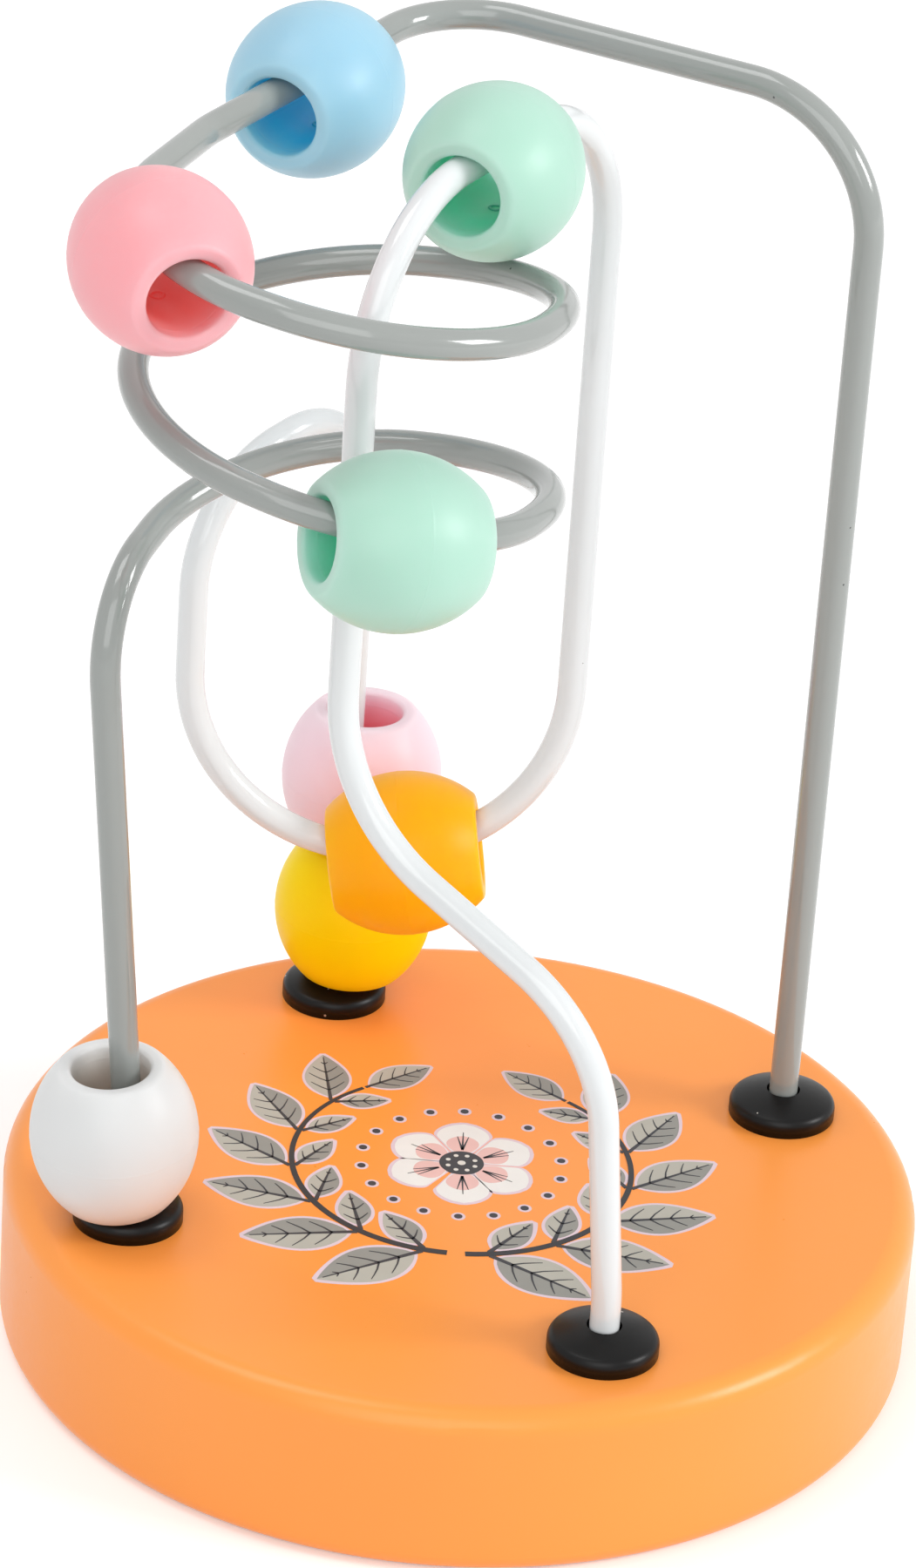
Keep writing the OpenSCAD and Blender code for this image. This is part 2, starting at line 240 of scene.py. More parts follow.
class SurfaceEffects:
    """Shader groups that several finishes share."""

    BROAD_DETAIL = 3.0
    FINE_DETAIL = 2.0
    WAVE_DETAIL = 1.0

    def __init__(self) -> None:
        """Builds the groups."""
        self.mottle = self._mottle()
        self.skin = self._skin()
        self.dust = self._dust()

    def _mottle(self) -> NodeGroup:
        """Builds the slow change of brightness over a painted or moulded surface.

        Returns:
            The group, which puts out the colour.
        """
        group = NodeGroup(
            "mottle",
            "Shader",
            {"Vector": "Vector", "Color": "Color", "Scale": "Float", "Amount": "Float"},
            {"Color": "Color"},
        )
        graph, inputs = group.graph, group.inputs
        broad = graph.noise(inputs["Vector"], inputs["Scale"], self.BROAD_DETAIL)
        centred = graph.math("SUBTRACT", broad, NOISE_MIDDLE)
        level = graph.math("MULTIPLY_ADD", centred, inputs["Amount"], 1.0)
        scaling = {0: inputs["Color"], "Scale": level}
        scaled = graph.add("ShaderNodeVectorMath", scaling, operation="SCALE")
        group.close({"Color": scaled.outputs["Vector"]})
        return group

    def _skin(self) -> NodeGroup:
        """Builds the fine relief and the uneven gloss of a surface.

        Returns:
            The group, which puts out the height and the roughness.
        """
        group = NodeGroup(
            "skin",
            "Shader",
            {"Vector": "Vector", "Grain": "Float", "Waves": "Float", "Wave Share": "Float",
             "Roughness": "Float", "Spread": "Float"},
            {"Height": "Float", "Roughness": "Float"},
        )
        graph, inputs = group.graph, group.inputs
        fine = graph.noise(inputs["Vector"], inputs["Grain"], self.FINE_DETAIL)
        waves = graph.noise(inputs["Vector"], inputs["Waves"], self.WAVE_DETAIL)
        height = graph.math("MULTIPLY_ADD", waves, inputs["Wave Share"], fine)
        both = graph.math("ADD", fine, waves)
        centred = graph.math("SUBTRACT", both, 2 * NOISE_MIDDLE)
        gloss = graph.math("MULTIPLY_ADD", centred, inputs["Spread"], inputs["Roughness"])
        group.close({"Height": height, "Roughness": gloss})
        return group

    def _dust(self) -> NodeGroup:
        """Builds the mask of small specks of dust that lie here and there.

        Returns:
            The group, which puts out the mask.
        """
        group = NodeGroup(
            "dust",
            "Shader",
            {"Vector": "Vector", "Scale": "Float", "Size": "Float", "Share": "Float"},
            {"Mask": "Float"},
        )
        graph, inputs = group.graph, group.inputs
        spots = {"Vector": inputs["Vector"], "Scale": inputs["Scale"], "Randomness": 1.0}
        cells = graph.add("ShaderNodeTexVoronoi", spots)
        near = graph.math("LESS_THAN", cells.outputs["Distance"], inputs["Size"])
        pick = graph.add("ShaderNodeSeparateColor", {"Color": cells.outputs["Color"]})
        chosen = graph.math("LESS_THAN", pick.outputs[0], inputs["Share"])
        group.close({"Mask": graph.math("MULTIPLY", near, chosen)})
        return group


EFFECTS = SurfaceEffects()


@dataclass(frozen=True)
class Finish:
    """A finish with an uneven colour, an uneven gloss and a fine relief."""

    name: str
    colour: Colour
    roughness: float = 0.4
    roughness_spread: float = 0.06
    mottle_scale: float = 40.0
    mottle_amount: float = 0.06
    grain: float = 1500.0
    waves: float = 200.0
    wave_share: float = 1.5
    relief: float = 0.004 * MM
    specular: float = 0.5
    coat: float = 0.0
    coat_roughness: float = 0.1
    subsurface: float = 0.0
    subsurface_reach: float = 1.0 * MM

    def tint(self, graph: Graph, where: Socket) -> Socket:
        """Gives the colour over the surface.

        Args:
            graph: The material's nodes.
            where: Object coordinates.

        Returns:
            The colour's socket.
        """
        inputs = {"Vector": where, "Color": self.colour, "Scale": self.mottle_scale,
                  "Amount": self.mottle_amount}
        return EFFECTS.mottle.place(graph, inputs).outputs["Color"]

    def height(self, graph: Graph, where: Socket, skin: Socket) -> Socket:
        """Gives the relief over the surface, here the plain skin."""
        return skin

    def extras(self, graph: Graph) -> dict[str, object]:
        """Gives further inputs of the shader, here none."""
        return {}

    def material(self) -> Material:
        """Builds the material.

        Returns:
            The material, ready to be put on a piece.
        """
        material, graph = blank_material(self.name)
        where = graph.add("ShaderNodeTexCoord").outputs["Object"]
        skin = EFFECTS.skin.place(
            graph,
            {"Vector": where, "Grain": self.grain, "Waves": self.waves,
             "Wave Share": self.wave_share, "Roughness": self.roughness,
             "Spread": self.roughness_spread},
        ).outputs
        height = self.height(graph, where, skin["Height"])
        relief = {"Strength": 1.0, "Distance": self.relief, "Height": height}
        bump = graph.add("ShaderNodeBump", relief)
        shader = graph.add(
            "ShaderNodeBsdfPrincipled",
            {"Base Color": self.tint(graph, where), "Roughness": skin["Roughness"],
             "Normal": bump.outputs["Normal"], "Specular IOR Level": self.specular,
             "Coat Weight": self.coat, "Coat Roughness": self.coat_roughness,
             "Subsurface Weight": self.subsurface, "Subsurface Scale": self.subsurface_reach,
             "Subsurface Radius": EVEN_SPREAD, **self.extras(graph)},
        )
        graph.add("ShaderNodeOutputMaterial", {"Surface": shader.outputs["BSDF"]})
        return material


@dataclass(frozen=True)
class PaintFinish(Finish):
    """Satin paint on wood: the wood's fibres show faintly through it."""

    fibre_stretch: Triple = (25.0, 420.0, 420.0)
    fibre_detail: float = 3.0
    fibre_share: float = 0.8

    def height(self, graph: Graph, where: Socket, skin: Socket) -> Socket:
        """Adds the fibres' long low ridges to the skin.

        Args:
            graph: The material's nodes.
            where: Object coordinates.
            skin: Height of the skin.

        Returns:
            The height's socket.
        """
        stretched = graph.add("ShaderNodeMapping", {"Vector": where, "Scale": self.fibre_stretch})
        fibres = graph.noise(stretched.outputs["Vector"], 1.0, self.fibre_detail)
        return graph.math("MULTIPLY_ADD", fibres, self.fibre_share, skin)


@dataclass(frozen=True)
class DustyFinish(Finish):
    """A smooth finish on which a few specks of dust lie."""

    dust_colour: Colour = srgb(190, 186, 180)
    dust_scale: float = 900.0
    dust_size: float = 0.16
    dust_share: float = 0.05

    def tint(self, graph: Graph, where: Socket) -> Socket:
        """Gives the colour with its dust.

        Args:
            graph: The material's nodes.
            where: Object coordinates.

        Returns:
            The colour's socket.
        """
        plain = super().tint(graph, where)
        inputs = {"Vector": where, "Scale": self.dust_scale, "Size": self.dust_size,
                  "Share": self.dust_share}
        mask = EFFECTS.dust.place(graph, inputs).outputs["Mask"]
        return graph.mix(mask, plain, self.dust_colour)


@dataclass(frozen=True)
class BeadFinish(Finish):
    """Satin moulded plastic that lets a little light through its wall.

    The bore is painted a deeper colour, and a painted glow in the bore and over the body stands for
    the light that passes through the wall.
    """

    roughness: float = 0.38
    mottle_scale: float = 90.0
    mottle_amount: float = 0.03
    grain: float = 2200.0
    waves: float = 300.0
    specular: float = 0.32
    subsurface: float = 0.85
    subsurface_reach: float = 5.0 * MM
    # Painted bore tint: a deeper colour painted in the bore for light tinted by passing through the
    # wall
    painted_bore_tint: Colour = BLACK
    # Painted glow of the bore and of the body, with its strength: emission that stands for light
    # coming through the wall
    glow: Colour = BLACK
    painted_body_glow: Colour = BLACK
    painted_glow_strength: float = 0.09

    def tint(self, graph: Graph, where: Socket) -> Socket:
        """Gives the outer colour, and the deeper colour painted in the bore for light tinted by the
        wall.
        """
        plain = super().tint(graph, where)
        return graph.mix(graph.painted_bore_mask(), plain, self.painted_bore_tint)

    def extras(self, graph: Graph) -> dict[str, object]:
        """Adds a painted glow in the bore and over the body for the little light that comes through
        the wall.
        """
        # Painted glow: emission in the bore, and over the body where a body glow is given
        through = graph.mix(graph.painted_bore_mask(), self.painted_body_glow, self.glow)
        return {"Emission Color": through, "Emission Strength": self.painted_glow_strength}


class Ink(Enum):
    """Colours of the print, from the lowest layer to the highest."""

    EDGE = srgb(226, 205, 214)
    MID = srgb(150, 149, 143)
    PALE = srgb(184, 181, 170)
    WHITE = srgb(238, 236, 232)
    PINK = srgb(234, 192, 186)
    CHARCOAL = srgb(66, 66, 70)
    STEM = srgb(58, 58, 61)
    DOT = srgb(224, 220, 212)

    def height(self) -> float:
        """Gives the height of this ink over the paint in millimetres."""
        lowest, step = 0.02, 0.008
        return lowest + step * list(Ink).index(self)

    def finish(self) -> Finish:
        """Gives the flat, slightly uneven finish of this ink.

        Returns:
            The finish.
        """
        return Finish(
            name="ink_" + self.name.lower(),
            colour=self.value,
            roughness=0.5,
            specular=0.25,
            mottle_scale=260.0,
            mottle_amount=0.1,
            grain=2400.0,
            relief=0.003 * MM,
        )


BASE_PAINT = PaintFinish(
    name="orange_paint",
    colour=srgb(255, 157, 70),
    roughness=0.31,
    roughness_spread=0.08,
    mottle_scale=30.0,
    mottle_amount=0.05,
    grain=1100.0,
    waves=140.0,
    relief=0.009 * MM,
    specular=0.38,
)
GREY_COATING = DustyFinish(
    name="grey_coating",
    colour=srgb(151, 155, 152),
    roughness=0.14,
    roughness_spread=0.04,
    mottle_scale=60.0,
    grain=900.0,
    waves=130.0,
    coat=0.4,
    coat_roughness=0.05,
    dust_colour=srgb(70, 70, 70),
    dust_scale=420.0,
    dust_size=0.06,
    dust_share=0.08,
)
WHITE_COATING = replace(
    GREY_COATING,
    name="white_coating",
    colour=srgb(226, 229, 230),
    mottle_amount=0.03,
    dust_colour=srgb(150, 146, 140),
    dust_size=0.05,
    dust_share=0.06,
)
COLLAR_PLASTIC = DustyFinish(
    name="black_plastic",
    colour=srgb(10, 9, 9),
    roughness=0.34,
    roughness_spread=0.08,
    mottle_amount=0.2,
    grain=1300.0,
    waves=260.0,
    relief=0.005 * MM,
    specular=0.22,
)


class BeadColour(Enum):
    """Finishes of the beads, by colour."""

    WHITE = BeadFinish(
        "white_plastic", srgb(219, 220, 220), painted_bore_tint=srgb(218, 208, 198), glow=srgb(20, 18, 16)
    )
    MINT = BeadFinish(
        "mint_plastic", srgb(176, 214, 198), painted_bore_tint=srgb(120, 232, 200), glow=srgb(30, 128, 108)
    )
    PINK = BeadFinish(
        "pink_plastic", srgb(246, 172, 178), painted_bore_tint=srgb(255, 146, 142), glow=srgb(255, 66, 60)
    )
    BLUE = BeadFinish(
        "blue_plastic", srgb(160, 203, 223), painted_bore_tint=srgb(70, 208, 240), glow=srgb(20, 150, 180)
    )
    # Orange and yellow also carry a painted glow over the body
    ORANGE = BeadFinish(
        "orange_plastic", srgb(255, 175, 0), painted_bore_tint=srgb(255, 150, 0), glow=srgb(190, 80, 0),
        painted_body_glow=srgb(255, 90, 0), specular=0.2,
    )
    YELLOW = BeadFinish(
        "yellow_plastic", srgb(255, 214, 0), painted_bore_tint=srgb(255, 180, 0), glow=srgb(190, 110, 0),
        painted_body_glow=srgb(210, 140, 0), specular=0.12,
    )
    PALE_PINK = BeadFinish(
        "pale_pink_plastic", srgb(246, 214, 223), painted_bore_tint=srgb(252, 160, 172), glow=srgb(220, 80, 96)
    )


def add_object(name: str, mesh: Mesh) -> Piece:
    """Puts a mesh in the scene as an object at the origin.

    Args:
        name: Name of the object.
        mesh: The mesh.

    Returns:
        The object.
    """
    piece = bpy.data.objects.new(name, mesh)
    bpy.context.scene.collection.objects.link(piece)
    return piece


def hand_over(piece: Piece, body: str, node: str = "") -> Piece:
    """Puts a finished piece on its body.

    Args:
        piece: The piece.
        body: Body that it rides on.
        node: Name of the solid that it stands for, if it stands for one.

    Returns:
        The piece.
    """
    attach(piece, body)
    if node:
        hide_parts(node)
    return piece


def mesh_of(shape: Shape, name: str) -> Mesh:
    """Turns an edited shape into a mesh and frees it.

    Args:
        shape: The shape.
        name: Name of the mesh.

    Returns:
        The mesh.
    """
    mesh = bpy.data.meshes.new(name)
    shape.to_mesh(mesh)
    shape.free()
    return mesh


def evaluated(holder: Piece) -> Mesh:
    """Gives the mesh that an object's modifiers make, and removes the object.

    Args:
        holder: The object.

    Returns:
        The mesh.
    """
    depsgraph = bpy.context.evaluated_depsgraph_get()
    mesh = bpy.data.meshes.new_from_object(holder.evaluated_get(depsgraph))
    holder.modifiers.clear()
    bpy.data.objects.remove(holder)
    return mesh


def smooth_by_angle(mesh: Mesh, limit: float) -> None:
    """Shades a mesh smooth, apart from the edges where it turns by more than a limit.

    Args:
        mesh: The mesh.
        limit: The limit in degrees.
    """
    mesh.shade_smooth()
    mesh.set_sharp_from_angle(angle=math.radians(limit))


def evened(mesh: Mesh) -> Mesh:
    """Lets the large faces of a smooth mesh set the shading, so that they stay flat to their rims.

    Args:
        mesh: The mesh. It is removed.

    Returns:
        The mesh with its new normals.
    """
    holder = add_object("evened", mesh)
    modifier = holder.modifiers.new("even", "WEIGHTED_NORMAL")
    modifier.mode = "FACE_AREA"
    modifier.weight = 100
    modifier.keep_sharp = True
    result = evaluated(holder)
    bpy.data.meshes.remove(mesh)
    return result


def flatten(mesh: Mesh, limit: float) -> None:
    """Gives level faces one normal, also where a rounded edge runs into them.

    Args:
        mesh: The mesh.
        limit: Turn in degrees up to which a neighbour counts as part of the rounded edge.
    """
    level: set[tuple[int, bool]] = set()
    for face in mesh.polygons:
        if abs(face.normal.z) > LEVEL:
            level.update((vert, face.normal.z > 0) for vert in face.vertices)
    least = math.cos(math.radians(limit))
    normals = [normal.vector.copy() for normal in mesh.corner_normals]
    for face in mesh.polygons:
        if abs(face.normal.z) < least:
            continue
        upward = face.normal.z > 0
        for corner in face.loop_indices:
            if (mesh.loops[corner].vertex_index, upward) in level:
                normals[corner] = Vector((0.0, 0.0, 1.0 if upward else -1.0))
    mesh.normals_split_custom_set(normals)


def dressed_copy(node: str, name: str, finish: Finish) -> Piece:
    """Makes a merged, smooth copy of one of the frame's solids that stands for it.

    Args:
        node: Name of the solid.
        name: Name of the new piece.
        finish: The finish.

    Returns:
        The piece.
    """
    mesh = frame["nodes"][node].data.copy()
    shape = bmesh.new()
    shape.from_mesh(mesh)
    bmesh.ops.remove_doubles(shape, verts=shape.verts, dist=SAME_POINT)
    shape.to_mesh(mesh)
    shape.free()
    smooth_by_angle(mesh, SOLID_SHARP)
    mesh.materials.clear()
    mesh.materials.append(finish.material())
    mesh = evened(mesh)
    flatten(mesh, SOLID_SHARP)
    return hand_over(add_object(name, mesh), FRAME_BODY, node)


def grown(base: Piece, tree: NodeGroup, values: dict[str, object]) -> Mesh:
    """Runs a geometry tree on an object and gives the result as a plain mesh.

    Args:
        base: Object that the tree starts from. It is removed.
        tree: The geometry tree.
        values: Values of the tree's inputs by name.

    Returns:
        The mesh.
    """
    modifier = base.modifiers.new("grow", "NODES")
    modifier.node_group = tree.tree
    for name, value in values.items():
        modifier[tree.ids[name]] = value
    return evaluated(base)


def chains(lines: list[list[Vector]], attributes: dict[str, list[float]]) -> Piece:
    """Makes chains of edges in one object for a geometry tree to follow.

    Args:
        lines: Points of each chain.
        attributes: Numbers on all points by the attribute's name.

    Returns:
        The object.
    """
    points, edges = [], []
    for line in lines:
        edges += [(len(points) + i, len(points) + i + 1) for i in range(len(line) - 1)]
        points += line
    mesh = bpy.data.meshes.new("chains")
    mesh.from_pydata(points, edges, [])
    for key, numbers in attributes.items():
        mesh.attributes.new(key, "FLOAT", "POINT").data.foreach_set("value", numbers)
    return add_object("chains", mesh)


@dataclass(frozen=True)
class Corner:
    """A corner of a wire in millimetres, with its bend radius."""

    x: float
    y: float
    z: float
    radius: float = 0.0

    def spot(self) -> Vector:
        """Gives the corner's place."""
        return Vector((self.x, self.y, self.z))


def shifted(plan: Pair, offset: Pair) -> Pair:
    """Moves a place in plan."""
    return plan[0] + offset[0], plan[1] + offset[1]


@dataclass
class Wires:
    """The two bent wires, each one route of corners that are rounded by their bend radii."""

    wire_d: float = 3.5
    foot_ring: float = 42.6
    foot_depth: float = 14.0
    knee_h: float = 7.0
    knee_r: float = 30.0
    least_straight: float = 0.4
    steps_a_bend: int = 30
    sides: int = 36
    # Grey wire
    grey_lean: Pair = (-6.6, -0.8)
    grey_post_h: float = 82.5
    grey_post_r: float = 12.5
    coil_r: float = 23.2
    coil_offset: Pair = (18.9, -6.5)
    coil_step: float = 6.0
    coil_pitch: float = 22.8
    coil_lift: float = 3.0
    lifted_corner: int = 3
    coil_corners: int = 8
    corners_a_turn: int = 4
    exit_offset: Pair = (-7.5, 26.0)
    exit_r: float = 15.0
    bar_rise: float = 2.9
    bar_corner: Pair = (7.5, 45.0)
    bar_r: float = 11.5
    bar_drop_r: float = 16.5
    # White wire, with the height and the radius of each bend from the dip on
    white_lean: Pair = (-3.5, -0.4)
    white_post_h: float = 42.0
    white_post_r: float = 19.5
    rise_offset: Pair = (-0.8, -6.5)
    rise_step: float = 17.0
    rise_r: float = 22.0
    under_arch: int = 5
    arch_gap: float = 0.3
    bead_hang: float = 12.5
    arch_near_r: float = 19.5
    arch_far_r: float = 17.0
    leg_offset: Pair = (19.0, -22.6)
    leg_lean: Pair = (-3.7, -8.2)
    side_offset: Pair = (-26.2, -12.4)
    dip_right: Pair = (29.2, 24.0)
    dip_left: Pair = (36.3, 24.0)
    hoop_left: Pair = (79.4, 16.0)
    hoop_back: Pair = (84.0, 11.5)

    @staticmethod
    def corner(plan: Pair, h: float, radius: float = 0.0) -> Corner:
        """Makes a corner from its place in plan and its height above the base."""
        return Corner(plan[0], plan[1], BASE_H + h, radius)

    def coil_axis(self) -> Pair:
        """Gives the place of the coil's axis in plan."""
        return shifted((-self.foot_ring, 0.0), self.coil_offset)

    def coil_corner(self, k: int) -> Corner:
        """Gives one corner of the coil, counted from the top of the left post.

        Args:
            k: Number of the corner.

        Returns:
            The corner.
        """
        a = math.radians(90 - 360 * k / self.corners_a_turn)
        reach = self.coil_r * math.sqrt(2)
        plan = shifted(self.coil_axis(), (reach * math.cos(a), reach * math.sin(a)))
        lift = self.coil_lift if k == self.lifted_corner else 0.0
        rise = self.coil_pitch * k / self.corners_a_turn + lift
        return self.corner(plan, self.grey_post_h + self.coil_step + rise, self.coil_r)

    def grey_route(self) -> list[Corner]:
        """Gives the grey wire's corners: left post, coil, top bar and right post.

        Returns:
            The corners.
        """
        left = (-self.foot_ring, 0.0)
        right = (self.foot_ring, 0.0)
        end_h = self.grey_post_h + self.coil_step
        end_h += self.coil_pitch * (self.coil_corners - 1) / self.corners_a_turn
        bar_h = end_h + self.bar_rise
        return [
            self.corner(left, -self.foot_depth),
            self.corner(left, self.knee_h, self.knee_r),
            self.corner(shifted(left, self.grey_lean), self.grey_post_h, self.grey_post_r),
            *[self.coil_corner(k) for k in range(self.coil_corners)],
            self.corner(shifted(self.coil_axis(), self.exit_offset), end_h, self.exit_r),
            self.corner(self.bar_corner, bar_h, self.bar_r),
            self.corner(right, bar_h, self.bar_drop_r),
            self.corner(right, -self.foot_depth),
        ]

    def white_route(self) -> list[Corner]:
        """Gives the white wire's corners.

        Returns:
            Front post, rise, arch, right leg, dip, rear hoop and back leg.
        """
        front = (0.0, -self.foot_ring)
        back = (0.0, self.foot_ring)
        lean = shifted(front, self.white_lean)
        rise = shifted(self.coil_axis(), self.rise_offset)
        leg = shifted(back, self.leg_offset)
        side = shifted(back, self.side_offset)
        arch_h = self.coil_corner(self.under_arch).z - BASE_H + self.arch_gap + self.bead_hang
        return [
            self.corner(front, -self.foot_depth),
            self.corner(front, self.knee_h, self.knee_r),
            self.corner(lean, self.white_post_h, self.white_post_r),
            self.corner(rise, self.white_post_h + self.rise_step, self.rise_r),
            self.corner(rise, arch_h, self.arch_near_r),
            self.corner(leg, arch_h, self.arch_far_r),
            self.corner(shifted(leg, self.leg_lean), *self.dip_right),
            self.corner(side, *self.dip_left),
            self.corner(side, *self.hoop_left),
            self.corner(back, *self.hoop_back),
            self.corner(back, -self.foot_depth),
        ]

    def bend_radii(self, route: list[Corner]) -> list[float]:
        """Tightens bends that would meet, so that a short straight is left between them.

        Args:
            route: The wire's corners.

        Returns:
            The bend radius at each corner.
        """
        spots = [corner.spot() for corner in route]
        runs = [spots[i + 1] - spots[i] for i in range(len(spots) - 1)]
        wanted = [0.0] * len(route)
        for i in range(1, len(route) - 1):
            wanted[i] = route[i].radius * math.tan(runs[i - 1].angle(runs[i]) / 2)
        room = [
            min(1.0, (runs[i].length - self.least_straight) / (wanted[i] + wanted[i + 1]))
            for i in range(len(runs))
        ]
        inner = [route[i].radius * min(room[i - 1], room[i]) for i in range(1, len(route) - 1)]
        return [0.0, *inner, 0.0]

    @staticmethod
    def tree() -> NodeGroup:
        """Builds the geometry tree that rounds a route's corners and runs a round wire along it.

        Returns:
            The tree.
        """
        group = NodeGroup(
            "bent_wire",
            "Geometry",
            {"Geometry": "Geometry", "Diameter": "Float", "Sides": "Int", "Steps": "Int",
             "Material": "Material"},
            {"Geometry": "Geometry"},
        )
        graph, inputs = group.graph, group.inputs
        line = graph.add("GeometryNodeMeshToCurve", {"Mesh": inputs["Geometry"]})
        radius = graph.add(
            "GeometryNodeInputNamedAttribute", {"Name": BEND_RADIUS}, data_type="FLOAT"
        )
        round_line = graph.add(
            "GeometryNodeFilletCurve",
            {"Curve": line.outputs[0], "Count": inputs["Steps"], "Radius": radius.outputs[0]},
            mode="POLY",
        )
        half = graph.math("MULTIPLY", inputs["Diameter"], 0.5)
        ring = graph.add(
            "GeometryNodeCurvePrimitiveCircle", {"Resolution": inputs["Sides"], "Radius": half}
        )
        tube = graph.add(
            "GeometryNodeCurveToMesh",
            {"Curve": round_line.outputs[0], "Profile Curve": ring.outputs[0], "Fill Caps": True},
        )
        group.close_geometry(tube.outputs[0])
        return group

    def build_wire(
        self, tree: NodeGroup, node: str, route: list[Corner], finish: Finish
    ) -> Piece:
        """Builds one wire along its route.

        Args:
            tree: The geometry tree.
            node: Name of the solid that the wire stands for.
            route: The wire's corners.
            finish: The coating.

        Returns:
            The piece.
        """
        radii = [radius * MM for radius in self.bend_radii(route)]
        mesh = grown(
            chains([[corner.spot() * MM for corner in route]], {BEND_RADIUS: radii}),
            tree,
            {"Diameter": self.wire_d * MM, "Sides": self.sides, "Steps": self.steps_a_bend,
             "Material": finish.material()},
        )
        smooth_by_angle(mesh, MADE_SHARP)
        return hand_over(add_object("coated_" + node, mesh), FRAME_BODY, node)

    def build(self) -> list[Piece]:
        """Builds both wires.

        Returns:
            The pieces.
        """
        tree = self.tree()
        return [
            self.build_wire(tree, "grey_wire", self.grey_route(), GREY_COATING),
            self.build_wire(tree, "white_wire", self.white_route(), WHITE_COATING),
        ]


@dataclass(frozen=True)
class BeadPlan:
    """One bead: the solid that it stands for and its colour."""

    node: str
    colour: BeadColour


